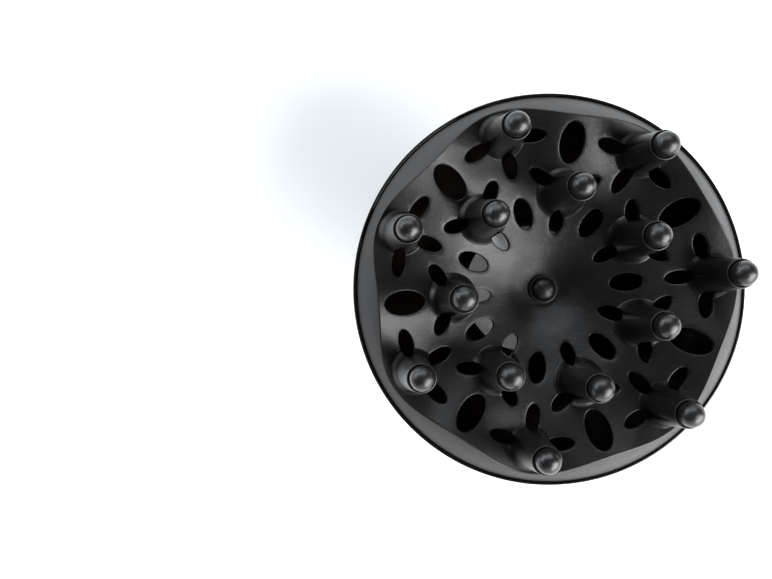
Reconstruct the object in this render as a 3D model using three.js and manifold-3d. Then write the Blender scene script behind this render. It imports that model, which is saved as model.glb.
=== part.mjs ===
// Hair dryer diffuser: gloss rear bell, one-piece finger plate with vents,
// soft push-in finger tips, and a slotted snap collar that turns in the neck.
// Millimetres, +Z up. The part stands on the end face of its collar, fingers up.
import * as THREE from 'three';
import Module from 'manifold-3d';

// ---------------------------------------------------------------- dimensions
const COLLAR_BORE_R = 24.3;     // air bore through the collar
const COLLAR_OUT_R = 26.1;      // outside of the sleeve that plugs into a dryer
const COLLAR_TOP_Z = 22.4;      // throat, top edge of the collar
const FLANGE_R = 28.2;          // stop flange the dryer barrel butts against
const FLANGE_Z0 = 11.4;
const FLANGE_Z1 = 13.7;
const SLOT_COUNT = 8;
const SLOT_W = 2.2;
const SLOT_DEPTH = 8.0;
const BEAD_OUT = 0.75;          // snap bead height on every second tongue
const BEAD_Z = 4.6;
const KEEPER_R = 26.95;         // bead that keeps the collar in the neck

const NECK_Z0 = 14.0;           // lower end of the bell's neck
const NECK_BORE_R = 26.4;
const NECK_OUT_R = 28.6;
const NECK_SHOULDER_Z = 20.1;
const RIM_Z = 66.0;             // top of the bell's lip
const RIM_R = 69.0;
const LIP_IN_R = 68.0;
const WALL = 1.8;

const PLATE_T = 2.2;            // wall of the moulded plate
const BAND_R = 67.7;            // foot of the sloping band, just inside the lip
const BAND_RUN = 0.72;          // band run per unit of rise
const PLUG_R = 65.8;            // skirt that snaps inside the bell
const FINGERS = 7;              // fingers in each of the two rows
const STEP = 2 * Math.PI / FINGERS;
const OUT_R = 55.8;             // pitch radius, outer row
const IN_R = 33.9;              // pitch radius, inner row
const OUT_A = 0;                // outer row starts on +X
const IN_A = STEP / 2;          // inner row sits midway between
const OUT_TOP = RIM_Z + 35.6;   // crown plane of the outer fingers
const IN_TOP = RIM_Z + 32.4;    // crown plane of the inner fingers
const CROWN_R = 4.92;
const CUP_R = 4.42;             // seat of the soft tip in the crown
const CUP_DEPTH = 1.5;
const STEM_HOLE_R = 1.9;
const BODY_R = 6.3;             // finger radius just above its foot
const FOOT_OUT_R = 8.13;
const FOOT_IN_R = 8.9;
const BORE_LOW_R = 4.5;         // hollow of a finger, at the plate
const BORE_TOP_R = 3.2;
const TIP_R = 4.06;
const TIP_CYL = 3.0;            // straight part of a tip above the crown
const STEM_R = 1.6;

const OVAL_OUT = { r: 51.4, a: 7.2, b: 4.2 };   // large radial vents
const OVAL_IN = { r: 28.05, a: 5.7, b: 3.1 };   // small radial vents
const PETAL_OUT = { r: 10.2, a: 5.0, b: 2.4, turn: [0, 75, -75] };
const PETAL_IN = { r: 9.6, a: 4.5, b: 2.35, turn: [0, 120, -120] };

const HUB_R = 5.08;             // low seat of the tip in the middle
const HUB_TOP = RIM_Z - 11.1;
const HUB_TIP_R = 4.2;

// dish height above the rim plane, on the ridges between the outer fingers
const DISH = [[0, -12.6], [6.2, -12.4], [9, -11.1], [13.4, -8.7], [20, -5.7], [28, -2.9],
  [34, -0.3], [45, 3.8], [51.4, 6.1], [60.4, 9.7], [70, 14.0]];
const WAVE_R0 = 28;             // the plate is scalloped outside this radius
const WAVE_DEPTH = 6.9;
const WAVE_SPAN = 36.5;

const SEG = 42;                 // facets of the plate
const BELL_SEG = 48;            // facets of the bell
const FSEG = 10;                // facets of a finger

// ---------------------------------------------------------------- helpers
const wasm = await Module();
wasm.setup();

function dish(r, th) {
  let h = DISH[DISH.length - 1][1];
  for (let i = 1; i < DISH.length; i++) {
    if (r <= DISH[i][0]) {
      const [r0, h0] = DISH[i - 1], [r1, h1] = DISH[i];
      h = h0 + (h1 - h0) * (r - r0) / (r1 - r0);
      break;
    }
  }
  const w = r > WAVE_R0 ? WAVE_DEPTH * Math.pow((r - WAVE_R0) / WAVE_SPAN, 1.3) : 0;
  return RIM_Z + h - w * (1 + Math.cos(FINGERS * (th - OUT_A))) / 2;
}

// where the dish meets the sloping band
function edge(th) {
  let lo = 55, hi = 67;
  for (let i = 0; i < 40; i++) {
    const m = (lo + hi) / 2;
    if (dish(m, th) < RIM_Z + (BAND_R - m) / BAND_RUN) lo = m; else hi = m;
  }
  return lo;
}

// closed skin through rings of equal length; ends closed on a centre point, or looped
function skin(rings, loop = false) {
  const n = rings[0].length, pos = [], idx = [];
  for (const r of rings) for (const p of r) pos.push(...p);
  const m = rings.length, last = loop ? m : m - 1;
  for (let k = 0; k < last; k++) {
    const a = k * n, b = ((k + 1) % m) * n;
    for (let i = 0; i < n; i++) {
      const j = (i + 1) % n;
      idx.push(a + i, a + j, b + j, a + i, b + j, b + i);
    }
  }
  if (!loop) {
    for (const [base, flip] of [[0, true], [(m - 1) * n, false]]) {
      const c = pos.length / 3, mean = [0, 0, 0];
      for (let i = 0; i < n; i++) for (let q = 0; q < 3; q++) mean[q] += pos[(base + i) * 3 + q] / n;
      pos.push(...mean);
      for (let i = 0; i < n; i++) {
        const j = (i + 1) % n;
        if (flip) idx.push(c, base + j, base + i); else idx.push(c, base + i, base + j);
      }
    }
  }
  let v = 0;
  for (let t = 0; t < idx.length; t += 3) {
    const p = [0, 1, 2].map(q => idx[t + q] * 3).map(o => [pos[o], pos[o + 1], pos[o + 2]]);
    v += p[0][0] * (p[1][1] * p[2][2] - p[1][2] * p[2][1]) - p[0][1] * (p[1][0] * p[2][2] - p[1][2] * p[2][0])
      + p[0][2] * (p[1][0] * p[2][1] - p[1][1] * p[2][0]);
  }
  if (v < 0) for (let t = 0; t < idx.length; t += 3) [idx[t + 1], idx[t + 2]] = [idx[t + 2], idx[t + 1]];
  return { pos, idx };
}

const solid = s => new wasm.Manifold(new wasm.Mesh({
  numProp: 3, vertProperties: new Float32Array(s.pos), triVerts: new Uint32Array(s.idx),
}));

// ring of n points about (cx, cy)
const ring = (cx, cy, r, z, n, a0 = 0) => Array.from({ length: n }, (_, i) => {
  const a = a0 + 2 * Math.PI * i / n;
  return [cx + r * Math.cos(a), cy + r * Math.sin(a), typeof z === 'function' ? z(cx + r * Math.cos(a), cy + r * Math.sin(a)) : z];
});

// turned solid from an [r, z] profile: closed on the axis, or a closed loop
const turned = (profile, n, cx = 0, cy = 0, loop = false) =>
  skin(profile.map(([r, z]) => ring(cx, cy, r, z, n)), loop);

// upright elliptical cutter, long axis along angle a
function cutter(cx, cy, a, la, lb, z0, z1, n = 14) {
  const f = z => Array.from({ length: n }, (_, i) => {
    const t = 2 * Math.PI * (i + 0.5) / n, u = la * Math.cos(t), v = lb * Math.sin(t);
    return [cx + u * Math.cos(a) - v * Math.sin(a), cy + u * Math.sin(a) + v * Math.cos(a), z];
  });
  return solid(skin([f(z0), f(z1)]));
}

function slab(cx, cy, a, lx, ly, z0, z1) {
  const f = z => [[-lx, -ly], [lx, -ly], [lx, ly], [-lx, ly]].map(([u, v]) =>
    [cx + u * Math.cos(a) - v * Math.sin(a), cy + u * Math.sin(a) + v * Math.cos(a), z]);
  return solid(skin([f(z0), f(z1)]));
}

function toGeometry(man) {
  const m = man.getMesh(), g = new THREE.BufferGeometry();
  const p = new Float32Array(m.numVert * 3);
  for (let i = 0; i < m.numVert; i++) for (let q = 0; q < 3; q++) p[i * 3 + q] = m.vertProperties[i * m.numProp + q];
  g.setAttribute('position', new THREE.BufferAttribute(p, 3));
  g.setIndex(new THREE.BufferAttribute(new Uint32Array(m.triVerts), 1));
  return g;
}

function fromSkin(s) {
  const g = new THREE.BufferGeometry();
  g.setAttribute('position', new THREE.Float32BufferAttribute(s.pos, 3));
  g.setIndex(s.idx);
  return g;
}

const object = new THREE.Group();
function add(name, geometry, material) {
  geometry.computeVertexNormals();
  const mesh = new THREE.Mesh(geometry, material);
  mesh.name = name;
  object.add(mesh);
}

const gloss = () => new THREE.MeshStandardMaterial({ color: 0x0b0b0c, roughness: 0.16, metalness: 0 });
const satin = () => new THREE.MeshStandardMaterial({ color: 0x131315, roughness: 0.5, metalness: 0 });
const soft = () => new THREE.MeshStandardMaterial({ color: 0x101012, roughness: 0.36, metalness: 0 });

// ---------------------------------------------------------------- rear bell
const flare = [[NECK_OUT_R, 18.2], [29.6, 21.6], [33.2, 26.2], [39.2, 31.4], [46.4, 36.6], [53.6, 42.2],
  [60.0, 48.6], [64.8, 55.2], [67.6, 61.0]];
const inner = flare.map(([r, z], i) => {
  const a = flare[Math.max(0, i - 1)], b = flare[Math.min(flare.length - 1, i + 1)];
  const dx = b[0] - a[0], dz = b[1] - a[1], l = Math.hypot(dx, dz);
  return [r - WALL * dz / l, z + WALL * dx / l];
});
const bellProfile = [
  [NECK_BORE_R, NECK_Z0], [NECK_OUT_R - 0.5, NECK_Z0], [NECK_OUT_R, NECK_Z0 + 0.5],
  ...flare,
  [68.7, 63.8], [RIM_R, 65.2], [RIM_R, RIM_Z - 0.4], [RIM_R - 0.4, RIM_Z], [LIP_IN_R, RIM_Z],
  [LIP_IN_R, RIM_Z - 2.5], [PLUG_R + 0.35, RIM_Z - 2.5], [PLUG_R + 0.35, RIM_Z - 4.9],
  [PLUG_R + 0.7, RIM_Z - 5.2], [PLUG_R + 0.7, RIM_Z - 6.2], [PLUG_R + 0.1, RIM_Z - 7.0],
  ...inner.slice(2, 8).reverse(),
  [27.7, NECK_SHOULDER_Z + 1.2], [NECK_BORE_R + 0.5, NECK_SHOULDER_Z], [NECK_BORE_R, NECK_SHOULDER_Z],
];
add('rear_bell', fromSkin(turned(bellProfile, BELL_SEG, 0, 0, true)), gloss());

// ---------------------------------------------------------------- finger plate
const polar = (r, th, z) => [r * Math.cos(th), r * Math.sin(th), z];
const angles = Array.from({ length: SEG }, (_, i) => 2 * Math.PI * i / SEG);
const radii = [6.2, 9, 13.4, 20, 28, 45];
const top = radii.map(r => angles.map(t => polar(r, t, dish(r, t))));
const between = (t, f) => 45 + (edge(t) - 45) * f;
top.push(angles.map(t => polar(between(t, 0.55), t, dish(between(t, 0.55), t))));
top.push(angles.map(t => polar(edge(t), t, dish(edge(t), t))));
const band = (t, f) => {                       // slightly convex slope down to the rim
  const re = edge(t), ze = dish(re, t);
  return polar(re + (BAND_R - re) * f + 0.5 * Math.sin(Math.PI * f) * 0.62, t, ze + (RIM_Z - ze) * f + 0.5 * Math.sin(Math.PI * f) * 0.78);
};
const skirt = [
  angles.map(t => band(t, 0.5)),
  angles.map(t => polar(BAND_R, t, RIM_Z)),
  angles.map(t => polar(BAND_R, t, RIM_Z - 2.2)),
  angles.map(t => polar(PLUG_R, t, RIM_Z - 2.2)),
  angles.map(t => polar(PLUG_R, t, RIM_Z - 5.2)),
  angles.map(t => polar(PLUG_R + 0.35, t, RIM_Z - 5.7)),
  angles.map(t => polar(PLUG_R - 0.4, t, RIM_Z - 6.6)),
  angles.map(t => polar(PLUG_R - 1.9, t, RIM_Z - 6.6)),
  angles.map(t => polar(PLUG_R - 1.9, t, RIM_Z + 1.1)),
];
const under = [angles.map(t => polar(edge(t) - 1.3, t, dish(edge(t), t) - PLATE_T - 0.6))];
for (const r of [54, 45, 28, 13.4, 9, 5.4]) {
  under.push(angles.map(t => polar(r, t, dish(r, t) - PLATE_T - (r < 14 ? 0.5 : 0))));
}
let plate = solid(skin([...top.reverse().map(r => r).reverse(), ...skirt, ...under]));

const onDish = (x, y) => dish(Math.hypot(x, y), Math.atan2(y, x));
const fingers = [];
for (let i = 0; i < FINGERS; i++) fingers.push({ row: 'out', a: OUT_A + i * STEP, r: OUT_R, top: OUT_TOP, foot: FOOT_OUT_R, petal: PETAL_OUT });
for (let i = 0; i < FINGERS; i++) fingers.push({ row: 'in', a: IN_A + i * STEP, r: IN_R, top: IN_TOP, foot: FOOT_IN_R, petal: PETAL_IN });

for (const f of fingers) {
  f.x = f.r * Math.cos(f.a);
  f.y = f.r * Math.sin(f.a);
  f.z = onDish(f.x, f.y);
  const off = d => (x, y) => onDish(x, y) + d;
  plate = plate.add(solid(skin([
    ring(f.x, f.y, f.foot, off(-1.1), FSEG, f.a), ring(f.x, f.y, f.foot, off(0.45), FSEG, f.a),
    ring(f.x, f.y, (f.foot + BODY_R) / 2 - 0.15, off(1.1), FSEG, f.a), ring(f.x, f.y, BODY_R + 0.1, off(2.9), FSEG, f.a),
    ring(f.x, f.y, CROWN_R, f.top - 0.25, FSEG, f.a), ring(f.x, f.y, CROWN_R - 0.25, f.top, FSEG, f.a),
  ])));
}
plate = plate.add(solid(turned([[HUB_R, RIM_Z - 13.8], [HUB_R, HUB_TOP - 0.2], [HUB_R - 0.2, HUB_TOP]], 20)));

for (const f of fingers) {
  const floor = f.top - CUP_DEPTH;
  plate = plate.subtract(solid(turned([[BORE_LOW_R + 0.2, f.z - 8], [BORE_LOW_R, f.z - 1], [BORE_TOP_R, floor - 2.0]], 8, f.x, f.y)));
  plate = plate.subtract(solid(turned([[STEM_HOLE_R, floor - 4], [STEM_HOLE_R, floor + 0.5]], 8, f.x, f.y)));
  plate = plate.subtract(solid(turned([[CUP_R, floor], [CUP_R, f.top + 1]], FSEG, f.x, f.y)));
  for (const q of f.petal.turn) {
    const a = f.a + Math.PI + q * Math.PI / 180;
    plate = plate.subtract(cutter(f.x + f.petal.r * Math.cos(a), f.y + f.petal.r * Math.sin(a), a,
      f.petal.a, f.petal.b, RIM_Z - 14, RIM_Z + 50, 8));
  }
}
for (let i = 0; i < FINGERS; i++) {
  const a = IN_A + i * STEP, b = OUT_A + i * STEP;
  plate = plate.subtract(cutter(OVAL_OUT.r * Math.cos(a), OVAL_OUT.r * Math.sin(a), a, OVAL_OUT.a, OVAL_OUT.b, RIM_Z - 14, RIM_Z + 50, 12));
  plate = plate.subtract(cutter(OVAL_IN.r * Math.cos(b), OVAL_IN.r * Math.sin(b), b, OVAL_IN.a, OVAL_IN.b, RIM_Z - 14, RIM_Z + 50, 12));
}
// seat and stem hole of the middle tip
plate = plate.subtract(solid(turned([[HUB_TIP_R + 0.25, HUB_TOP - 1.2], [HUB_TIP_R + 0.25, HUB_TOP + 2]], 16)));
plate = plate.subtract(solid(turned([[STEM_HOLE_R, HUB_TOP - 9], [STEM_HOLE_R, HUB_TOP]], 12)));
plate = plate.asOriginal().simplify(0.05);
add('finger_plate', toGeometry(plate), satin());

// ---------------------------------------------------------------- soft tips
function tip(name, x, y, crown, r, depth, straight = TIP_CYL, rise = r) {
  const seat = crown - depth + 0.3, eq = crown + straight, p = [];
  p.push([STEM_R * 0.7, seat - 3.6], [STEM_R, seat - 3.0], [STEM_R, seat], [r, seat], [r, eq]);
  for (const d of [25, 50, 72]) p.push([r * Math.cos(d * Math.PI / 180), eq + rise * Math.sin(d * Math.PI / 180)]);
  const rings = p.map(([rr, z]) => ring(0, 0, rr, z - crown, 10));
  const g = fromSkin(skin(rings));
  const pos = g.getAttribute('position');                 // last two points close the ends
  pos.setZ(pos.count - 1, eq + rise - crown);
  g.computeVertexNormals();
  const mesh = new THREE.Mesh(g, soft());
  mesh.name = name;
  mesh.position.set(x, y, crown);
  object.add(mesh);
}
fingers.forEach((f, i) => tip('finger_tip_' + String(i + 1).padStart(2, '0'), f.x, f.y, f.top, TIP_R, CUP_DEPTH));
tip('center_tip', 0, 0, HUB_TOP, HUB_TIP_R, 1.2, 0.2, 3.0);

// ---------------------------------------------------------------- snap collar
let collar = solid(turned([
  [COLLAR_BORE_R, 0.4], [COLLAR_BORE_R + 0.4, 0], [COLLAR_OUT_R - 0.5, 0], [COLLAR_OUT_R, 0.6],
  [COLLAR_OUT_R, FLANGE_Z0], [FLANGE_R, FLANGE_Z0], [FLANGE_R, FLANGE_Z1], [COLLAR_OUT_R, FLANGE_Z1],
  [COLLAR_OUT_R, 20.5], [KEEPER_R, 20.75], [KEEPER_R - 0.2, 21.4], [COLLAR_OUT_R - 0.3, COLLAR_TOP_Z], [COLLAR_BORE_R, COLLAR_TOP_Z],
], 48, 0, 0, true));
for (let i = 0; i < SLOT_COUNT; i++) {
  const a = Math.PI / SLOT_COUNT + i * 2 * Math.PI / SLOT_COUNT;
  const slot = slab(25.3 * Math.cos(a), 25.3 * Math.sin(a), a, 2.6, SLOT_W / 2, -1, SLOT_DEPTH);
  collar = collar.subtract(slot);
}
for (let i = 0; i < SLOT_COUNT; i += 2) {      // snap beads on every second tongue
  const a = i * 2 * Math.PI / SLOT_COUNT, half = 0.235, n = 4, prof = [[25.4, BEAD_Z - 1.3], [COLLAR_OUT_R + 0.02, BEAD_Z - 1.3],
    [COLLAR_OUT_R + BEAD_OUT, BEAD_Z - 0.35], [COLLAR_OUT_R + BEAD_OUT, BEAD_Z + 0.35], [COLLAR_OUT_R + 0.02, BEAD_Z + 1.3], [25.4, BEAD_Z + 1.3]];
  const secs = [];
  for (let k = 0; k <= n; k++) {
    const t = a - half + 2 * half * k / n, e = (k === 0 || k === n) ? 0.25 : 1;
    secs.push(prof.map(([r, z]) => polar(r > COLLAR_OUT_R + 0.1 ? COLLAR_OUT_R + BEAD_OUT * e : r, t, z)));
  }
  collar = collar.add(solid(skin(secs)));
}
add('snap_collar', toGeometry(collar), gloss());

export default object;
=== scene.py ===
import bpy, bmesh, math
import numpy as np
from mathutils import Vector, Matrix
from mathutils.geometry import delaunay_2d_cdt


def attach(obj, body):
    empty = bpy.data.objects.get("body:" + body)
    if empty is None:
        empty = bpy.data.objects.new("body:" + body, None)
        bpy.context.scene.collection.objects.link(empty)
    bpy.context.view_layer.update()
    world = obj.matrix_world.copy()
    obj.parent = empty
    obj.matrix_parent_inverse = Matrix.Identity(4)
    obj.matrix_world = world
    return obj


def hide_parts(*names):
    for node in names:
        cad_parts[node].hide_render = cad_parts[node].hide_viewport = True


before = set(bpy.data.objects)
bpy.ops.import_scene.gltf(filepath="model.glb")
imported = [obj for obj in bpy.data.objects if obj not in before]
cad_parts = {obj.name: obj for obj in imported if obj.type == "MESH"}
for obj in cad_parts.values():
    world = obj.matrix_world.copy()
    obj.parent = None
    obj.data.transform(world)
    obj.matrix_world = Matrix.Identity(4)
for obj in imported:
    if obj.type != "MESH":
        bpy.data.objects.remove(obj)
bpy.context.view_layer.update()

# ------------------------------------------------------------------ dimensions, millimetres, as in the CAD
RIM_Z, RIM_R, LIP_IN_R = 66.0, 69.0, 68.0
BAND_R, BAND_RUN = 67.7, 0.72
OUT_R, IN_R = 55.8, 33.9
OUT_TOP, IN_TOP = RIM_Z + 35.6, RIM_Z + 32.4
CROWN_R, CUP_R, CUP_DEPTH, STEM_HOLE_R = 4.92, 4.42, 1.5, 1.9
BODY_R, FOOT_OUT, FOOT_IN = 6.3, 8.13, 8.9
BORE_LOW, BORE_TOP = 4.6, 3.2
PLATE_T = 2.2
HUB_R, HUB_TOP, HUB_TIP_R = 5.08, RIM_Z - 11.1, 4.2
TIP_R = 4.06
N7 = 7
STEP = 2 * math.pi / 7
OVAL_OUT = (51.4, 7.15, 4.2)
OVAL_IN = (28.05, 5.65, 3.1)
PETAL_OUT = (10.2, 5.0, 2.4, (0, 75, -75))
PETAL_IN = (9.6, 4.5, 2.35, (0, 120, -120))

# smooth dish profile through the CAD's points
_DR = np.array([0, 3, 5.6, 6.4, 9, 12.9, 13.9, 20, 28, 34, 45, 51.4, 60.4, 70.0])
_DH = np.array([-12.6, -12.6, -12.55, -12.33, -11.1, -8.8, -8.2, -5.7, -2.9, -0.3, 3.8, 6.1, 9.7, 14.0])


def _pchip_slopes(x, y):
    h = np.diff(x); d = np.diff(y) / h
    m = np.zeros_like(y)
    for i in range(1, len(x) - 1):
        if d[i - 1] * d[i] > 0:
            w1, w2 = 2 * h[i] + h[i - 1], h[i] + 2 * h[i - 1]
            m[i] = (w1 + w2) / (w1 / d[i - 1] + w2 / d[i])
    m[-1] = d[-1]
    return m


_DM = _pchip_slopes(_DR, _DH)


def spline(r):
    i = np.clip(np.searchsorted(_DR, r, side="right") - 1, 0, len(_DR) - 2)
    h = _DR[i + 1] - _DR[i]; t = (r - _DR[i]) / h
    return (_DH[i] * (1 + 2 * t) * (1 - t) ** 2 + _DM[i] * h * t * (1 - t) ** 2
            + _DH[i + 1] * t * t * (3 - 2 * t) + _DM[i + 1] * h * t * t * (t - 1))


def dish(r, th):
    u = np.clip((r - 28.0) / 36.5, 0, None)
    w = 6.9 * u ** 1.3
    c = (1 + np.cos(7 * th)) / 2
    return RIM_Z + spline(r) - w * c


def band(r):
    f = np.clip((BAND_R - r) / 7.0, -0.2, 1.6)
    return RIM_Z + (BAND_R - r) / BAND_RUN + 0.45 * np.sin(np.pi * np.clip(f, 0, 1))


def smin(a, b, k):
    h = np.clip(0.5 + 0.5 * (b - a) / k, 0, 1)
    return b * (1 - h) + a * h - k * h * (1 - h)


def base(x, y):
    r = np.hypot(x, y); th = np.arctan2(y, x)
    return smin(dish(r, th), band(r), 0.42)


def base_under(x, y):
    r = np.hypot(x, y); th = np.arctan2(y, x)
    d = dish(r, th) - PLATE_T - 0.45 * np.clip((16 - r) / 5, 0, 1)
    return smin(d, band(r + 2.3) - 0.1, 1.2)


def edge(th):
    lo, hi = 55.0, 67.2
    for _ in range(40):
        m = (lo + hi) / 2
        if dish(m, th) < band(m): lo = m
        else: hi = m
    return lo


FINGERS = []
for i in range(7):
    FINGERS.append(dict(a=i * STEP, r=OUT_R, top=OUT_TOP, foot=FOOT_OUT, petal=PETAL_OUT))
for i in range(7):
    FINGERS.append(dict(a=(i + 0.5) * STEP, r=IN_R, top=IN_TOP, foot=FOOT_IN, petal=PETAL_IN))
for f in FINGERS:
    f["x"], f["y"] = f["r"] * math.cos(f["a"]), f["r"] * math.sin(f["a"])

# every through hole: (cx, cy, angle, semi-axis a, semi-axis b, points)
HOLES = []
for i in range(7):
    a, b = (i + 0.5) * STEP, i * STEP
    HOLES.append((OVAL_OUT[0] * math.cos(a), OVAL_OUT[0] * math.sin(a), a, OVAL_OUT[1], OVAL_OUT[2], 56, "oval"))
    HOLES.append((OVAL_IN[0] * math.cos(b), OVAL_IN[0] * math.sin(b), b, OVAL_IN[1], OVAL_IN[2], 48, "oval"))
for f in FINGERS:
    pr, pa, pb, turns = f["petal"]
    for q in turns:
        a = f["a"] + math.pi + math.radians(q)
        HOLES.append((f["x"] + pr * math.cos(a), f["y"] + pr * math.sin(a), a, pa, pb, 44, "petal"))
for f in FINGERS:
    HOLES.append((f["x"], f["y"], f["a"], STEM_HOLE_R, STEM_HOLE_R, 20, "stem"))
HOLES.append((0.0, 0.0, 0.0, STEM_HOLE_R, STEM_HOLE_R, 20, "stem"))


def local(h, x, y):
    dx, dy = x - h[0], y - h[1]; c, s = math.cos(h[2]), math.sin(h[2])
    return dx * c + dy * s, -dx * s + dy * c


def hole_dist(h, x, y):
    """approximate distance outside an ellipse"""
    u, v = local(h, x, y)
    a, b = h[3], h[4]
    k0 = np.sqrt((u / a) ** 2 + (v / b) ** 2)
    k1 = np.sqrt((u / a ** 2) ** 2 + (v / b ** 2) ** 2)
    return k0 * (k0 - 1) / np.maximum(k1, 1e-9)


def round_over(z, d, rad):
    t = np.clip(1 - d / rad, 0, 1)
    return z - rad * (1 - np.sqrt(np.clip(1 - t * t, 0, 1)))


def wall_foot(f):
    """radius where the tapered wall of a finger starts"""
    return BODY_R + (0.5 if f["foot"] > 8.5 else 0.2)


def top_height(x, y):
    z0 = base(x, y)
    z = z0.copy()
    for f in FINGERS:
        rho = np.hypot(x - f["x"], y - f["y"])
        m = rho < f["foot"] + 0.06
        if not m.any(): continue
        F, B, top = f["foot"], wall_foot(f), f["top"]
        R = rho[m]; zb = dish(np.hypot(x[m], y[m]), np.arctan2(y[m], x[m]))
        zz = zb.copy()
        # step at the foot
        s = np.clip((F + 0.03 - R) / 0.06, 0, 1)
        foot = 0.30 * s
        t = np.clip((F - 0.03 - R) / 0.3, 0, 1)
        foot = foot + 0.13 * np.sqrt(np.clip(1 - (1 - t) ** 2, 0, 1))
        g = np.clip((F - 0.33 - R) / (F - 0.33 - B), 0, 1)
        foot = foot + 2.5 * (0.7 * g + 0.3 * (1 - np.sqrt(np.clip(1 - (g * 0.985) ** 2, 0, 1))))
        zz = zb + foot
        # tapered wall
        zlow = zb + 0.43 + 2.5 * (0.7 + 0.3 * (1 - math.sqrt(1 - 0.985 ** 2)))
        w = np.clip((B - R) / (B - CROWN_R), 0, 1)
        zz = np.where(R < B, zlow + (top - 0.3 - zlow) * w, zz)
        # crown lip, cup and floor
        c = np.clip((CROWN_R - R) / 0.30, 0, 1)
        zz = np.where(R < CROWN_R, top - 0.3 + 0.3 * np.sqrt(np.clip(1 - (1 - c) ** 2, 0, 1)), zz)
        c = np.clip((R - CUP_R) / 0.12, 0, 1)
        zz = np.where(R < CUP_R + 0.12, top - 0.12 * (1 - np.sqrt(np.clip(1 - (1 - c) ** 2, 0, 1))), zz)
        s = np.clip((CUP_R - R) / 0.04, 0, 1)
        zz = np.where(R < CUP_R, top - 0.12 - (CUP_DEPTH - 0.12) * s, zz)
        z[m] = zz
    # low seat in the middle
    rho = np.hypot(x, y)
    m = rho < HUB_R + 0.04
    if m.any():
        R = rho[m]
        s = np.clip((HUB_R + 0.03 - R) / 0.06, 0, 1)
        zz = z0[m] + (HUB_TOP - 0.25 - z0[m]) * s
        c = np.clip((HUB_R - 0.03 - R) / 0.22, 0, 1)
        zz = zz + 0.25 * np.sqrt(np.clip(1 - (1 - c) ** 2, 0, 1))
        r2 = HUB_TIP_R + 0.22
        s = np.clip((r2 - R) / 0.04, 0, 1)
        zz = np.where(R < r2, HUB_TOP - 1.1 * s, zz)
        z[m] = zz
    for h in HOLES:
        if h[6] == "stem": continue
        d = hole_dist(h, x, y)
        m = (d < 0.45)
        if m.any(): z[m] = round_over(z[m], np.maximum(d[m], 0), 0.42)
    return z


def under_height(x, y):
    z = base_under(x, y)
    for f in FINGERS:
        rho = np.hypot(x - f["x"], y - f["y"])
        m = rho < BORE_LOW + 0.5
        if not m.any(): continue
        R = rho[m]; zb = z[m]; top = f["top"] - CUP_DEPTH - 2.0
        c = np.clip((BORE_LOW + 0.4 - R) / 0.4, 0, 1)
        zz = zb + 0.4 * (1 - np.sqrt(np.clip(1 - c ** 2, 0, 1)))
        w = np.clip((BORE_LOW - R) / (BORE_LOW - BORE_TOP), 0, 1)
        zz = np.where(R < BORE_LOW, zb + 0.4 + (top - zb - 0.4) * w, zz)
        z[m] = zz
    return z


def circle_pts(cx, cy, r, n, a0=0.0):
    t = a0 + 2 * np.pi * np.arange(n) / n
    return np.c_[cx + r * np.cos(t), cy + r * np.sin(t)]


def ellipse_pts(h, off, n):
    # denser towards the two ends of the long axis
    t = 2 * np.pi * np.arange(n) / n
    t = t - 0.22 * np.sin(2 * t)
    a, b = h[3], h[4]
    u, v = a * np.cos(t), b * np.sin(t)
    if off:
        nx, ny = np.cos(t) / a, np.sin(t) / b
        l = np.hypot(nx, ny); u, v = u + off * nx / l, v + off * ny / l
    c, s = math.cos(h[2]), math.sin(h[2])
    return np.c_[h[0] + u * c - v * s, h[1] + u * s + v * c]


def grid_points(spacing, rmax, keep_out):
    pts = []
    r = spacing
    k = 0
    while r < rmax:
        n = max(6, int(round(2 * math.pi * r / spacing)))
        pts.append(circle_pts(0, 0, r, n, 0.5 * (k % 2) * 2 * math.pi / n))
        r += spacing * 0.9; k += 1
    p = np.vstack(pts)
    ok = np.ones(len(p), bool)
    for fn in keep_out:
        ok &= fn(p[:, 0], p[:, 1])
    return p[ok]


NRIM = 280
R_IN_UNDER = 63.6


def triangulate(loops, free, rmax):
    verts, edges = [], []
    for l in loops:
        b = len(verts); n = len(l)
        verts.extend(l.tolist()); edges.extend([(b + i, b + (i + 1) % n) for i in range(n)])
    verts.extend(free.tolist())
    out = delaunay_2d_cdt([Vector(v) for v in verts], edges, [], 0, 1e-5, False)
    v = np.array([tuple(p) for p in out[0]]); t = np.array(out[2], int)
    c = v[t].mean(axis=1)
    ok = np.hypot(c[:, 0], c[:, 1]) < rmax * math.cos(math.pi / NRIM) - 1e-4
    for h in HOLES:
        u, w = local(h, c[:, 0], c[:, 1])
        near = (np.abs(u) < h[3] + 0.1) & (np.abs(w) < h[3] + 0.1)
        if not near.any(): continue
        # inside the hole polygon (polygon of its own points)
        poly = ellipse_pts(h, 0, h[5])
        pu, pw = local(h, poly[:, 0], poly[:, 1])
        idx = np.where(near)[0]
        x, y = u[idx], w[idx]
        inside = np.zeros(len(idx), bool)
        j = len(pu) - 1
        for i in range(len(pu)):
            cond = ((pw[i] > y) != (pw[j] > y)) & (x < (pu[j] - pu[i]) * (y - pw[i]) / (pw[j] - pw[i] + 1e-15) + pu[i])
            inside ^= cond
            j = i
        ok[idx[inside]] = False
    t = t[ok]
    # same winding for all
    a, b, c3 = v[t[:, 0]], v[t[:, 1]], v[t[:, 2]]
    area = (b[:, 0] - a[:, 0]) * (c3[:, 1] - a[:, 1]) - (b[:, 1] - a[:, 1]) * (c3[:, 0] - a[:, 0])
    flip = area < 0
    t[flip] = t[flip][:, ::-1]
    used = np.unique(t); remap = -np.ones(len(v), int); remap[used] = np.arange(len(used))
    return v[used], remap[t]


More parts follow.
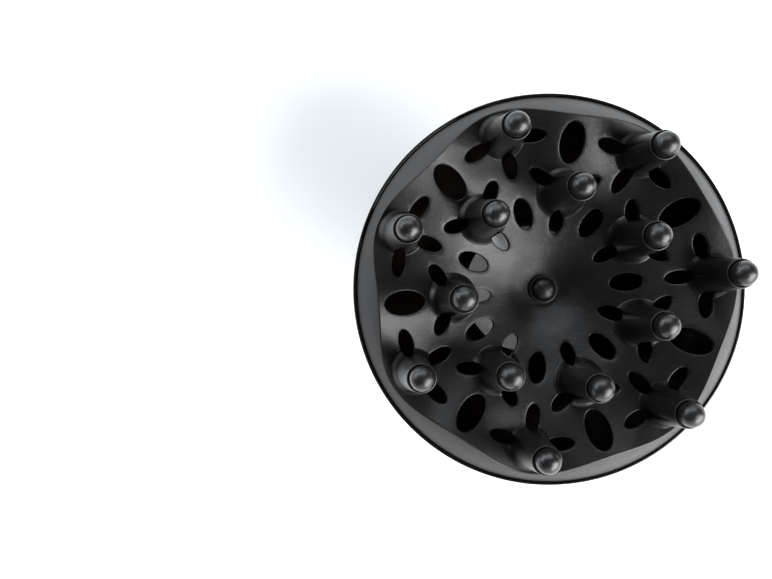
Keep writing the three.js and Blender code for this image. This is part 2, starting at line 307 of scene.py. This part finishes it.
def boundary_loops(tris):
    from collections import defaultdict
    count = {}
    for tri in tris:
        for i in range(3):
            e = (int(tri[i]), int(tri[(i + 1) % 3]))
            count[e] = count.get(e, 0) + 1
    nxt = {}
    for (a, b) in count:
        if (b, a) not in count: nxt.setdefault(a, []).append(b)
    loops = []
    seen = set()
    for s in list(nxt):
        for first in nxt[s]:
            if (s, first) in seen: continue
            loop = [s]; seen.add((s, first)); cur = first
            while cur != s:
                loop.append(cur)
                cand = [q for q in nxt[cur] if (cur, q) not in seen]
                if not cand: break
                q = cand[0]; seen.add((cur, q)); cur = q
            loops.append(loop)
    return loops


def build_plate():
    clear_f = lambda pad: [(lambda x, y, f=f: np.hypot(x - f["x"], y - f["y"]) > f["foot"] + pad) for f in FINGERS]
    clear_h = lambda pad: [(lambda x, y, h=h: hole_dist(h, x, y) > pad) for h in HOLES if h[6] != "stem"]
    tha = 2 * np.pi * np.arange(NRIM) / NRIM
    er = np.array([edge(t) for t in tha])
    # ---- top
    loops = [circle_pts(0, 0, BAND_R, NRIM)]
    for off in (1.6, 0.8, 0.45, 0.25, 0.1, -0.05, -0.2, -0.4, -0.7, -1.2, -2.0):
        rr = er + off
        loops.append(np.c_[rr * np.cos(tha), rr * np.sin(tha)])
    for fr in (0.35, 0.7, 0.9):
        rr = er + 1.6 + (BAND_R - er - 1.6) * fr
        loops.append(np.c_[rr * np.cos(tha), rr * np.sin(tha)])
    for f in FINGERS:
        F = f["foot"]
        for rr in (F + 0.35, F + 0.03, F - 0.03, F - 0.12, F - 0.33):
            loops.append(circle_pts(f["x"], f["y"], rr, 64, f["a"]))
        for g in (0.3, 0.55, 0.75, 0.88, 0.96):
            loops.append(circle_pts(f["x"], f["y"], F - 0.33 - g * (F - 0.33 - wall_foot(f)), 64, f["a"]))
        for w in (0.0, 0.12, 0.26, 0.4, 0.55, 0.7, 0.8, 0.9):
            loops.append(circle_pts(f["x"], f["y"], wall_foot(f) - w * (wall_foot(f) - CROWN_R), 64, f["a"]))
        for rr in (CROWN_R, CROWN_R - 0.04, CROWN_R - 0.15, CROWN_R - 0.30, CUP_R + 0.12, CUP_R + 0.04, CUP_R, CUP_R - 0.04):
            loops.append(circle_pts(f["x"], f["y"], rr, 64, f["a"]))
    for rr in (HUB_R + 0.3, HUB_R + 0.03, HUB_R - 0.03, HUB_R - 0.1, HUB_R - 0.25, HUB_TIP_R + 0.22, HUB_TIP_R + 0.18):
        loops.append(circle_pts(0, 0, rr, 64))
    for r_, n_ in ((5.9, 64), (6.6, 72), (7.4, 72), (8.3, 72), (9.3, 84), (10.5, 84), (11.8, 96)):
        loops.append(circle_pts(0, 0, r_, n_))
    for h in HOLES:
        loops.append(ellipse_pts(h, 0, h[5]))
        if h[6] != "stem":
            for off in (0.06, 0.18, 0.42):
                loops.append(ellipse_pts(h, off, h[5]))
    keep = clear_f(0.6) + clear_h(0.75) + [lambda x, y: np.hypot(x, y) > 12.6,
            lambda x, y: np.hypot(x, y) < np.interp(np.arctan2(y, x) % (2 * np.pi), np.r_[tha, 2 * np.pi], np.r_[er, er[0]]) - 2.7]
    free = grid_points(1.35, 64, keep)
    vt, tt = triangulate(loops, free, BAND_R)
    zt = top_height(vt[:, 0], vt[:, 1])
    # ---- underside
    loops = [circle_pts(0, 0, R_IN_UNDER, NRIM)]
    for f in FINGERS:
        for rr in (BORE_LOW + 0.4, BORE_LOW + 0.22, BORE_LOW + 0.06, BORE_LOW, BORE_TOP + 0.6, BORE_TOP):
            loops.append(circle_pts(f["x"], f["y"], rr, 40, f["a"]))
    for h in HOLES:
        loops.append(ellipse_pts(h, 0, h[5]))
    keep = [(lambda x, y, f=f: np.hypot(x - f["x"], y - f["y"]) > BORE_LOW + 0.9) for f in FINGERS] + clear_h(0.5) + [
        lambda x, y: np.hypot(x, y) > STEM_HOLE_R + 0.8, lambda x, y: np.hypot(x, y) < R_IN_UNDER - 0.8]
    free = grid_points(1.9, 64, keep)
    vb, tb = triangulate(loops, free, R_IN_UNDER)
    zb = under_height(vb[:, 0], vb[:, 1])
    V = np.vstack([np.c_[vt, zt], np.c_[vb, zb]])
    nt = len(vt)
    faces = [tuple(int(q) for q in t) for t in tt]
    faces += [(int(t[0]) + nt, int(t[2]) + nt, int(t[1]) + nt) for t in tb]
    lt, lb = boundary_loops(tt), boundary_loops(tb)
    def key(loop, v):
        c = v[loop].mean(axis=0)
        return c
    holes_t = {}; holes_b = {}
    outer_t = outer_b = None
    for loops_, v, store, which in ((lt, vt, holes_t, "t"), (lb, vb, holes_b, "b")):
        for l in loops_:
            p = v[l]
            if np.hypot(p[:, 0], p[:, 1]).min() > 60 and len(l) >= NRIM * 0.9:
                if which == "t": outer_t = l
                else: outer_b = l
                continue
            c = (p.max(0) + p.min(0)) / 2
            best = min(range(len(HOLES)), key=lambda i: (HOLES[i][0] - c[0]) ** 2 + (HOLES[i][1] - c[1]) ** 2)
            store.setdefault(best, []).append(l)
    print("plate loops", len(lt), len(lb), "holes", len(HOLES), len(holes_t), len(holes_b),
          "double", [k for k in holes_t if len(holes_t[k]) > 1], [k for k in holes_b if len(holes_b[k]) > 1])
    for k, h in enumerate(HOLES):
        if k not in holes_t or k not in holes_b: print("hole without wall", k, h); continue
        A, B = holes_t[k][0], holes_b[k][0]
        def params(l, v):
            u, w = local(h, v[l][:, 0], v[l][:, 1])
            return np.arctan2(w / h[4], u / h[3]) % (2 * np.pi)
        pa, pb = params(A, vt), params(B, vb)
        A = [A[i] for i in np.argsort(pa)]; pa = np.sort(pa)
        B = [B[i] + nt for i in np.argsort(pb)]; pb = np.sort(pb)
        i = j = 0; na, nb = len(A), len(B)
        while i < na or j < nb:
            ta = pa[i + 1] if i + 1 < na else (2 * np.pi + pa[0] if i < na else 1e9)
            tb_ = pb[j + 1] if j + 1 < nb else (2 * np.pi + pb[0] if j < nb else 1e9)
            if i < na and (ta <= tb_ or j >= nb):
                faces.append((A[i], A[(i + 1) % na], B[j % nb])); i += 1
            else:
                faces.append((A[i % na], B[(j + 1) % nb], B[j])); j += 1
    # ---- skirt: rings from the foot of the band down, in, and up to the underside
    ang_t = np.arctan2(vt[outer_t][:, 1], vt[outer_t][:, 0]) % (2 * np.pi)
    ot = [outer_t[i] for i in np.argsort(ang_t)]
    ang_b = np.arctan2(vb[outer_b][:, 1], vb[outer_b][:, 0]) % (2 * np.pi)
    ob = [outer_b[i] + nt for i in np.argsort(ang_b)]
    print("rim", len(ot), len(ob))
    rings = [(BAND_R, RIM_Z - 0.12), (BAND_R, RIM_Z - 2.05), (BAND_R - 0.15, RIM_Z - 2.2), (65.95, RIM_Z - 2.2), (65.8, RIM_Z - 2.35), (65.8, RIM_Z - 5.2),
             (66.12, RIM_Z - 5.65), (66.1, RIM_Z - 5.85), (65.4, RIM_Z - 6.5), (65.2, RIM_Z - 6.6), (64.1, RIM_Z - 6.6), (63.9, RIM_Z - 6.4), (63.8, RIM_Z - 2.2)]
    prev = ot
    extra = []
    nv = len(V)
    for (r_, z_) in rings:
        ring = []
        for q in range(NRIM):
            a = 2 * math.pi * q / NRIM
            extra.append((r_ * math.cos(a), r_ * math.sin(a), z_)); ring.append(nv); nv += 1
        for q in range(NRIM):
            q2 = (q + 1) % NRIM
            faces.append((prev[q], ring[q], ring[q2], prev[q2]))
        prev = ring
    for q in range(NRIM):
        q2 = (q + 1) % NRIM
        faces.append((prev[q], ob[q], ob[q2], prev[q2]))
    V = np.vstack([V, np.array(extra)])
    me = bpy.data.meshes.new("finger_plate_moulding")
    me.from_pydata((V * 0.001).tolist(), [], faces)
    me.validate()
    bm = bmesh.new(); bm.from_mesh(me)
    bmesh.ops.recalc_face_normals(bm, faces=bm.faces)
    bad = [e for e in bm.edges if not e.is_manifold]
    print("plate verts", len(bm.verts), "faces", len(bm.faces), "bad edges", len(bad), "volume", bm.calc_volume(signed=True) * 1e9)
    bm.to_mesh(me); bm.free()
    ob_ = bpy.data.objects.new("finger_plate_moulding", me)
    bpy.context.scene.collection.objects.link(ob_)
    return ob_


# ==== BUILD
def link(name, me):
    o = bpy.data.objects.new(name, me)
    bpy.context.scene.collection.objects.link(o)
    return o


def smooth(o, angle=35.0):
    me = o.data
    me.polygons.foreach_set("use_smooth", [True] * len(me.polygons))
    bm = bmesh.new(); bm.from_mesh(me)
    lim = math.radians(angle)
    for e in bm.edges:
        e.smooth = not (len(e.link_faces) == 2 and e.calc_face_angle(0.0) > lim)
    bm.to_mesh(me); bm.free()


def lathe(name, profile, n, closed=True, cx=0.0, cy=0.0):
    """turned mesh from [r, z] in mm; a closed profile, or one that starts and ends on the axis"""
    verts, faces, rings = [], [], []
    for r, z in profile:
        if r < 1e-6:
            rings.append([len(verts)]); verts.append((cx, cy, z))
        else:
            rings.append(list(range(len(verts), len(verts) + n)))
            verts.extend((cx + r * math.cos(2 * math.pi * i / n), cy + r * math.sin(2 * math.pi * i / n), z) for i in range(n))
    m = len(rings)
    for k in range(m if closed else m - 1):
        a, b = rings[k], rings[(k + 1) % m]
        for i in range(n):
            j = (i + 1) % n
            if len(a) == 1: faces.append((a[0], b[j], b[i]))
            elif len(b) == 1: faces.append((a[i], a[j], b[0]))
            else: faces.append((a[i], a[j], b[j], b[i]))
    me = bpy.data.meshes.new(name)
    me.from_pydata([(x * 0.001, y * 0.001, z * 0.001) for x, y, z in verts], [], faces)
    bm = bmesh.new(); bm.from_mesh(me)
    bmesh.ops.recalc_face_normals(bm, faces=bm.faces)
    bm.to_mesh(me); bm.free()
    return link(name, me)


def rounded(profile, radii, closed=True, steps=4):
    """profile with its corners rounded: radii is one radius in mm for each point"""
    out = []
    n = len(profile)
    for i, (p, rad) in enumerate(zip(profile, radii)):
        if rad <= 0 or (not closed and i in (0, n - 1)):
            out.append(p); continue
        p = Vector(p); a = Vector(profile[i - 1]); b = Vector(profile[(i + 1) % n])
        u, v = (a - p), (b - p)
        lu, lv = u.length, v.length
        u.normalize(); v.normalize()
        ang = math.acos(max(-1, min(1, u.dot(v))))
        if ang > math.radians(176): out.append(tuple(p)); continue
        t = min(rad / math.tan(ang / 2), lu * 0.45, lv * 0.45)
        r = t * math.tan(ang / 2)
        c = p + (u + v).normalized() * (r / math.sin(ang / 2))
        p0, p1 = p + u * t, p + v * t
        a0 = math.atan2(p0.y - c.y, p0.x - c.x); a1 = math.atan2(p1.y - c.y, p1.x - c.x)
        d = (a1 - a0 + math.pi) % (2 * math.pi) - math.pi
        for k in range(steps + 1):
            q = a0 + d * k / steps
            out.append((c.x + r * math.cos(q), c.y + r * math.sin(q)))
    return out


def catmull(pts, sub):
    """smooth open curve through points"""
    P = [Vector(p) for p in pts]
    P = [P[0] * 2 - P[1]] + P + [P[-1] * 2 - P[-2]]
    out = []
    for i in range(1, len(P) - 2):
        for k in range(sub):
            t = k / sub
            a, b, c, d = P[i - 1], P[i], P[i + 1], P[i + 2]
            q = 0.5 * ((2 * b) + (c - a) * t + (2 * a - 5 * b + 4 * c - d) * t * t + (3 * b - a - 3 * c + d) * t ** 3)
            out.append(tuple(q))
    out.append(tuple(P[-2]))
    return out


# ------------------------------------------------------------------ materials
def new_mat(name):
    m = bpy.data.materials.new(name); m.use_nodes = True
    nt = m.node_tree
    for n in list(nt.nodes): nt.nodes.remove(n)
    out = nt.nodes.new("ShaderNodeOutputMaterial"); b = nt.nodes.new("ShaderNodeBsdfPrincipled")
    nt.links.new(b.outputs[0], out.inputs[0])
    return m, nt, b


def ramp(nt, fac, stops):
    r = nt.nodes.new("ShaderNodeValToRGB")
    el = r.color_ramp.elements
    while len(el) < len(stops): el.new(0.5)
    for e, (p, c) in zip(el, stops):
        e.position = p; e.color = c if len(c) == 4 else (*c, 1)
    nt.links.new(fac, r.inputs[0])
    return r.outputs[0]


def noise(nt, co, scale, detail=3.0, rough=0.55, dist=0.0):
    n = nt.nodes.new("ShaderNodeTexNoise")
    n.inputs["Scale"].default_value = scale; n.inputs["Detail"].default_value = detail
    n.inputs["Roughness"].default_value = rough; n.inputs["Distortion"].default_value = dist
    nt.links.new(co, n.inputs["Vector"])
    return n.outputs["Fac"]


def mathn(nt, op, a, b=0.0, clamp=False):
    n = nt.nodes.new("ShaderNodeMath"); n.operation = op; n.use_clamp = clamp
    for i, v in enumerate((a, b)):
        if hasattr(v, "is_output"): nt.links.new(v, n.inputs[i])
        else: n.inputs[i].default_value = v
    return n.outputs[0]


def plastic(name, dark, light, r0, r1, grain, grain_scale, mould=0.0, spec=0.5, wear=0.35, dust=0.5, depth=0.00004):
    """moulded plastic: colour drift, fine grain, faint flow marks, worn bright edges, dust specks"""
    m, nt, b = new_mat(name)
    tc = nt.nodes.new("ShaderNodeTexCoord"); co = tc.outputs["Object"]
    big = noise(nt, co, 38.0, 3.0, 0.6, 0.4)
    colour = ramp(nt, big, [(0.3, dark), (0.72, light)])
    geo = nt.nodes.new("ShaderNodeNewGeometry")
    edge_ = mathn(nt, "MULTIPLY", mathn(nt, "SUBTRACT", geo.outputs["Pointiness"], 0.52), 9.0, True)
    spots = mathn(nt, "GREATER_THAN", noise(nt, co, 210.0, 4.0, 0.7), 0.5)
    edge_ = mathn(nt, "MULTIPLY", edge_, mathn(nt, "MULTIPLY", spots, wear))
    # sparse specks of dust: the small cells of a Voronoi pattern, thinned out by a coarser noise
    vor = nt.nodes.new("ShaderNodeTexVoronoi"); vor.inputs["Scale"].default_value = 900.0
    nt.links.new(co, vor.inputs["Vector"])
    speck = mathn(nt, "MULTIPLY", mathn(nt, "LESS_THAN", vor.outputs["Distance"], 0.16), mathn(nt, "GREATER_THAN", noise(nt, co, 330.0, 3.0, 0.7), 0.64))
    speck = mathn(nt, "MULTIPLY", speck, dust)
    # hairline scratches from combs and towels: a stretched noise in two directions
    lines = []
    for ang, sc in ((0.5, 1.0), (-0.9, 1.3)):
        mp = nt.nodes.new("ShaderNodeMapping"); mp.inputs["Rotation"].default_value = (0.2, 0.1, ang)
        mp.inputs["Scale"].default_value = (60.0 * sc, 2600.0 * sc, 400.0)
        nt.links.new(co, mp.inputs["Vector"])
        lines.append(mathn(nt, "MULTIPLY", mathn(nt, "SUBTRACT", noise(nt, mp.outputs[0], 1.0, 1.0, 0.4), 0.62), 6.0, True))
    scratch = mathn(nt, "MULTIPLY", mathn(nt, "ADD", lines[0], lines[1], True), noise(nt, co, 55.0, 2.0, 0.5))
    mix = nt.nodes.new("ShaderNodeMix"); mix.data_type = "RGBA"
    nt.links.new(mathn(nt, "MAXIMUM", edge_, speck), mix.inputs[0]); nt.links.new(colour, mix.inputs[6])
    mix.inputs[7].default_value = (0.030, 0.028, 0.026, 1)
    nt.links.new(mix.outputs[2], b.inputs["Base Color"])
    rr = mathn(nt, "ADD", mathn(nt, "MULTIPLY", noise(nt, co, 70.0, 4.0, 0.6, 0.2), 0.6), mathn(nt, "MULTIPLY", noise(nt, co, 1100.0, 2.0, 0.6), 0.4))
    rough = nt.nodes.new("ShaderNodeMapRange")
    nt.links.new(rr, rough.inputs[0])
    rough.inputs[1].default_value = 0.35; rough.inputs[2].default_value = 0.65
    rough.inputs[3].default_value = r0; rough.inputs[4].default_value = r1
    rs = mathn(nt, "ADD", rough.outputs[0], mathn(nt, "MULTIPLY", scratch, 0.10), True)
    nt.links.new(rs, b.inputs["Roughness"])
    b.inputs["Specular IOR Level"].default_value = spec
    b.inputs["IOR"].default_value = 1.5
    bump = nt.nodes.new("ShaderNodeBump"); bump.inputs["Strength"].default_value = grain
    bump.inputs["Distance"].default_value = depth
    h = mathn(nt, "SUBTRACT", noise(nt, co, grain_scale, 3.0, 0.6), mathn(nt, "MULTIPLY", scratch, 0.6))
    nt.links.new(h, bump.inputs["Height"])
    mid = nt.nodes.new("ShaderNodeBump"); mid.inputs["Strength"].default_value = grain
    mid.inputs["Distance"].default_value = 0.00010
    nt.links.new(noise(nt, co, 380.0, 3.0, 0.62, 0.3), mid.inputs["Height"])
    nt.links.new(mid.outputs[0], bump.inputs["Normal"])
    if mould:
        b2 = nt.nodes.new("ShaderNodeBump"); b2.inputs["Strength"].default_value = mould
        b2.inputs["Distance"].default_value = 0.0004
        nt.links.new(noise(nt, co, 26.0, 1.5, 0.4, 0.3), b2.inputs["Height"])
        nt.links.new(b2.outputs[0], mid.inputs["Normal"])
    nt.links.new(bump.outputs[0], b.inputs["Normal"])
    return m


M_PLATE = plastic("satin_plate", (0.0020, 0.0013, 0.0011), (0.0032, 0.0024, 0.0022), 0.33, 0.45, 0.6, 1500.0, mould=0.16, spec=0.46, depth=0.00007)
M_BELL = plastic("gloss_bell", (0.0026, 0.0018, 0.0014), (0.0042, 0.0032, 0.0026), 0.10, 0.18, 0.10, 700.0, mould=0.10, spec=0.45, wear=0.2, dust=0.3)
# painted light: the inside of the shell is the same black plastic as the outside, given a lighter, warmer base that
# stands in for the dim brownish light inside the shell
M_BELL_INSIDE_PAINTED_LIGHT = plastic("bell_inside_painted_light", (0.0075, 0.0024, 0.0008), (0.0110, 0.0040, 0.0016), 0.26, 0.40, 0.4, 900.0, mould=0.20, spec=0.22, wear=0.1, dust=0.8)
M_TIP = plastic("soft_tip", (0.0030, 0.0026, 0.0026), (0.0048, 0.0043, 0.0043), 0.30, 0.40, 0.4, 1700.0, mould=0.08, spec=0.50, wear=0.12, dust=0.5, depth=0.00005)
M_COLLAR = plastic("collar_plastic", (0.0030, 0.0022, 0.0020), (0.0048, 0.0040, 0.0036), 0.20, 0.30, 0.25, 1100.0, mould=0.08, spec=0.45, wear=0.3)


def paint(o, m):
    o.data.materials.clear(); o.data.materials.append(m)


# ------------------------------------------------------------------ finger plate
plate = build_plate()
smooth(plate, 38.0)
paint(plate, M_PLATE)
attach(plate, "head"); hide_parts("finger_plate")

# ------------------------------------------------------------------ rear bell
NECK_BORE_R, NECK_OUT_R, WALL = 26.4, 28.6, 1.8
flare = [(NECK_OUT_R, 18.2), (29.6, 21.6), (33.2, 26.2), (39.2, 31.4), (46.4, 36.6), (53.6, 42.2), (60.0, 48.6), (64.8, 55.2), (67.6, 61.0)]
fine = catmull(flare, 8)
outer = [(NECK_OUT_R, 14.7)] + fine + [(68.62, 63.7), (RIM_R - 0.02, 65.2)]
inner = []
for i in range(10, len(fine) - 6):
    a, b_ = Vector(fine[i - 1]), Vector(fine[i + 1]); d = (b_ - a).normalized()
    inner.append((fine[i][0] - WALL * d.y, fine[i][1] + WALL * d.x))
prof = [(NECK_BORE_R + 0.25, 14.0), (NECK_OUT_R - 0.5, 14.0), (NECK_OUT_R - 0.15, 14.15)] + outer
rad = [0.0] * len(prof); rad[0] = 0.25
lip = [(RIM_R - 0.02, RIM_Z - 0.35), (RIM_R - 0.12, RIM_Z - 0.1), (RIM_R - 0.35, RIM_Z), (LIP_IN_R + 0.25, RIM_Z), (LIP_IN_R + 0.06, RIM_Z - 0.08), (LIP_IN_R, RIM_Z - 0.25),
       (LIP_IN_R, RIM_Z - 2.5), (66.15, RIM_Z - 2.5), (66.15, RIM_Z - 4.9), (66.5, RIM_Z - 5.2), (66.5, RIM_Z - 6.2), (65.9, RIM_Z - 7.0)]
prof += lip; rad += [0, 0, 0, 0, 0, 0, 0.3, 0.2, 0.15, 0.15, 0.15, 0.3]
inn = inner[::-1]
prof += inn; rad += [0.0] * len(inn)
prof += [(27.7, 21.5), (26.9, 20.1), (NECK_BORE_R, 20.1), (NECK_BORE_R, 14.3)]; rad += [0.5, 0.2, 0.15, 0.1]
bell = lathe("rear_bell_shell", rounded(prof, rad), 280)
smooth(bell, 40.0)
paint(bell, M_BELL)
bell.data.materials.append(M_BELL_INSIDE_PAINTED_LIGHT)
for poly in bell.data.polygons:             # inside faces of the shell get the lighter, warmer inner material: painted light for the dim interior
    c = poly.center
    if poly.normal.x * c.x + poly.normal.y * c.y < -1e-6 and c.z < (RIM_Z - 2.0) * 0.001:
        poly.material_index = 1
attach(bell, "head"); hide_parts("rear_bell")

# ------------------------------------------------------------------ soft tips
def tip(name, node, x, y, crown, r, depth, straight=3.0, rise=None):
    rise = rise or r
    seat = crown - depth + 0.3; eq = crown + straight
    p = [(0.0, seat - 3.6), (1.0, seat - 3.6), (1.25, seat - 3.45), (1.6, seat - 2.6), (1.6, seat - 0.2), (1.7, seat - 0.03), (1.9, seat),
         (r - 0.25, seat), (r - 0.06, seat + 0.07), (r, seat + 0.28), (r, crown + straight * 0.2), (r, crown + straight * 0.6), (r - 0.005, eq)]
    for k in range(1, 22):
        q = math.pi / 2 * k / 22
        p.append((r * math.cos(q), eq + rise * math.sin(q)))
    p.append((0.0, eq + rise))
    o = lathe(name, p, 64, closed=False, cx=x, cy=y)
    smooth(o, 40.0)
    paint(o, M_TIP)
    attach(o, "head"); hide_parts(node)
    return o


for i, f in enumerate(FINGERS):
    tip("soft_tip_%02d" % (i + 1), "finger_tip_%02d" % (i + 1), f["x"], f["y"], f["top"], TIP_R, CUP_DEPTH)
tip("soft_tip_center", "center_tip", 0.0, 0.0, HUB_TOP, HUB_TIP_R, 1.2, 0.2, 3.0)

# ------------------------------------------------------------------ snap collar
def build_collar():
    prof = [(24.3, 0.4), (24.7, 0.0), (25.6, 0.0), (26.1, 0.6), (26.1, 11.4), (28.2, 11.4), (28.2, 13.7), (26.1, 13.7),
            (26.1, 20.5), (26.95, 20.75), (26.75, 21.4), (25.8, 22.4), (24.3, 22.4)]
    rad = [0.1, 0.2, 0.2, 0.2, 0.25, 0.35, 0.35, 0.25, 0.15, 0.12, 0.3, 0.25, 0.3]
    body = lathe("snap_collar_ring", rounded(prof, rad, steps=3), 192)
    cut = bmesh.new()
    for i in range(8):
        a = math.pi / 8 + i * math.pi / 4
        pts = [(-1.1, -1.0), (1.1, -1.0), (1.1, 6.9)] + [(1.1 * math.cos(q), 6.9 + 1.1 * math.sin(q)) for q in [math.pi * k / 12 for k in range(1, 12)]] + [(-1.1, 6.9)]
        rings = []
        for rr in (22.0, 29.0):
            rings.append([cut.verts.new(Vector((rr * math.cos(a) - u * math.sin(a), rr * math.sin(a) + u * math.cos(a), z)) * 0.001) for u, z in pts])
        n = len(pts)
        cut.faces.new(rings[0][::-1]); cut.faces.new(rings[1])
        for k in range(n): cut.faces.new((rings[0][k], rings[0][(k + 1) % n], rings[1][(k + 1) % n], rings[1][k]))
    bmesh.ops.recalc_face_normals(cut, faces=cut.faces)
    me = bpy.data.meshes.new("slot_cutter"); cut.to_mesh(me); cut.free()
    cutter = link("slot_cutter", me)
    mod = body.modifiers.new("slots", "BOOLEAN"); mod.operation = "DIFFERENCE"; mod.solver = "EXACT"; mod.object = cutter
    # snap beads on every second tongue
    bead = bmesh.new()
    for i in range(0, 8, 2):
        a0 = i * math.pi / 4
        secs = []
        for k in range(25):
            s = -1 + 2 * k / 24
            t = a0 + 0.235 * s
            e = math.sqrt(max(0.0, 1 - abs(s) ** 8)) if abs(s) < 1 else 0.0
            e = max(e, 0.08)
            h = 0.75 * e
            p = [(25.6, 4.6 - 1.3), (26.12, 4.6 - 1.3), (26.1 + h * 0.55, 4.6 - 0.8), (26.1 + h * 0.93, 4.6 - 0.45), (26.1 + h, 4.6), (26.1 + h * 0.93, 4.6 + 0.45), (26.1 + h * 0.55, 4.6 + 0.8), (26.12, 4.6 + 1.3), (25.6, 4.6 + 1.3)]
            secs.append([bead.verts.new(Vector((r * math.cos(t), r * math.sin(t), z)) * 0.001) for r, z in p])
        for k in range(24):
            for q in range(9): bead.faces.new((secs[k][q], secs[k][(q + 1) % 9], secs[k + 1][(q + 1) % 9], secs[k + 1][q]))
        bead.faces.new(secs[0][::-1]); bead.faces.new(secs[-1])
    bmesh.ops.recalc_face_normals(bead, faces=bead.faces)
    me = bpy.data.meshes.new("bead_add"); bead.to_mesh(me); bead.free()
    beads = link("bead_add", me)
    mod = body.modifiers.new("beads", "BOOLEAN"); mod.operation = "UNION"; mod.solver = "EXACT"; mod.object = beads
    dg = bpy.context.evaluated_depsgraph_get()
    done = bpy.data.meshes.new_from_object(body.evaluated_get(dg))
    body.modifiers.clear(); body.data = done
    for o in (cutter, beads): bpy.data.objects.remove(o)
    return body


collar = build_collar()
smooth(collar, 32.0)
paint(collar, M_COLLAR)
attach(collar, "collar"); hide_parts("snap_collar")

# ------------------------------------------------------------------ stage, light, camera
def stage():
    me = bpy.data.meshes.new("floor"); s = 3.0
    me.from_pydata([(-s, -s, 0), (s, -s, 0), (s, s, 0), (-s, s, 0)], [], [(0, 1, 2, 3)])
    o = link("floor", me)
    m, nt, b = new_mat("pale_floor")
    b.inputs["Base Color"].default_value = (0.95, 0.95, 0.95, 1)
    b.inputs["Roughness"].default_value = 0.8
    b.inputs["Specular IOR Level"].default_value = 0.2
    b.inputs["Emission Color"].default_value = (0.97, 0.985, 1, 1); b.inputs["Emission Strength"].default_value = 0.08
    paint(o, m)


stage()

ROLL = math.radians(5.25)
RIGHT = Vector((math.cos(ROLL), -math.sin(ROLL), 0)); UP = Vector((math.sin(ROLL), math.cos(ROLL), 0)); OUTW = Vector((0, 0, 1))
DIST, SCALE = 430.0, 2.843
cam = bpy.data.cameras.new("camera"); cam_o = bpy.data.objects.new("camera", cam)
bpy.context.scene.collection.objects.link(cam_o)
cam.sensor_width = 36.0
cam.lens = SCALE * DIST / 772 * 36.0
at = RIGHT * ((319 - 549.3) / SCALE) + UP * ((289.2 - 288.2) / SCALE) + OUTW * (RIM_Z + DIST)
rot = Matrix((RIGHT, UP, OUTW)).transposed()
cam_o.matrix_world = Matrix.Translation(at * 0.001) @ rot.to_4x4()
cam.shift_x = (386 - 319) / 772
cam.shift_y = (288.2 - 289.5) / 772
cam.clip_start = 0.01; cam.clip_end = 20
bpy.context.scene.camera = cam_o


def softbox(name, azimuth, tilt, dist, size, radiance, color=(1, 1, 1)):
    """soft box that faces the rim: azimuth from photo right, tilt from the vertical, both in degrees; sizes in metres"""
    l = bpy.data.lights.new(name, "AREA"); l.shape = "RECTANGLE"; l.size, l.size_y = size
    l.energy = radiance * math.pi * size[0] * size[1]; l.color = color
    o = bpy.data.objects.new(name, l)
    az, ti = math.radians(azimuth), math.radians(tilt)
    d = (RIGHT * math.cos(az) + UP * math.sin(az)) * math.sin(ti) + OUTW * math.cos(ti)
    t = OUTW * RIM_Z * 0.001
    z = d.normalized(); x = OUTW.cross(z)
    x = x.normalized() if x.length > 1e-6 else RIGHT
    y = z.cross(x)
    o.matrix_world = Matrix.Translation(t + d * dist) @ Matrix((x, y, z)).transposed().to_4x4()
    bpy.context.scene.collection.objects.link(o)
    return o


softbox("key_lower_right", -38, 62, 1.15, (1.35, 0.8), 12.5, (0.985, 0.99, 1.0))
softbox("key_small", -28, 36, 1.1, (0.34, 0.34), 10.0, (0.985, 0.99, 1.0))
softbox("upper_left", 150, 76, 1.2, (1.0, 0.45), 6.0, (0.90, 0.95, 1.0))
softbox("top", 97, 60, 1.2, (1.3, 0.9), 3.6, (0.90, 0.95, 1.0))
softbox("bottom", -95, 74, 1.2, (1.0, 0.4), 3.0, (0.90, 0.95, 1.0))
world = bpy.data.worlds.new("world"); bpy.context.scene.world = world
world.use_nodes = True
bg = world.node_tree.nodes["Background"]
bg.inputs[0].default_value = (0.88, 0.94, 1, 1); bg.inputs[1].default_value = 0.16
vs = bpy.context.scene.view_settings
vs.view_transform = "Standard"; vs.look = "None"; vs.exposure = 0.0; vs.gamma = 1.0
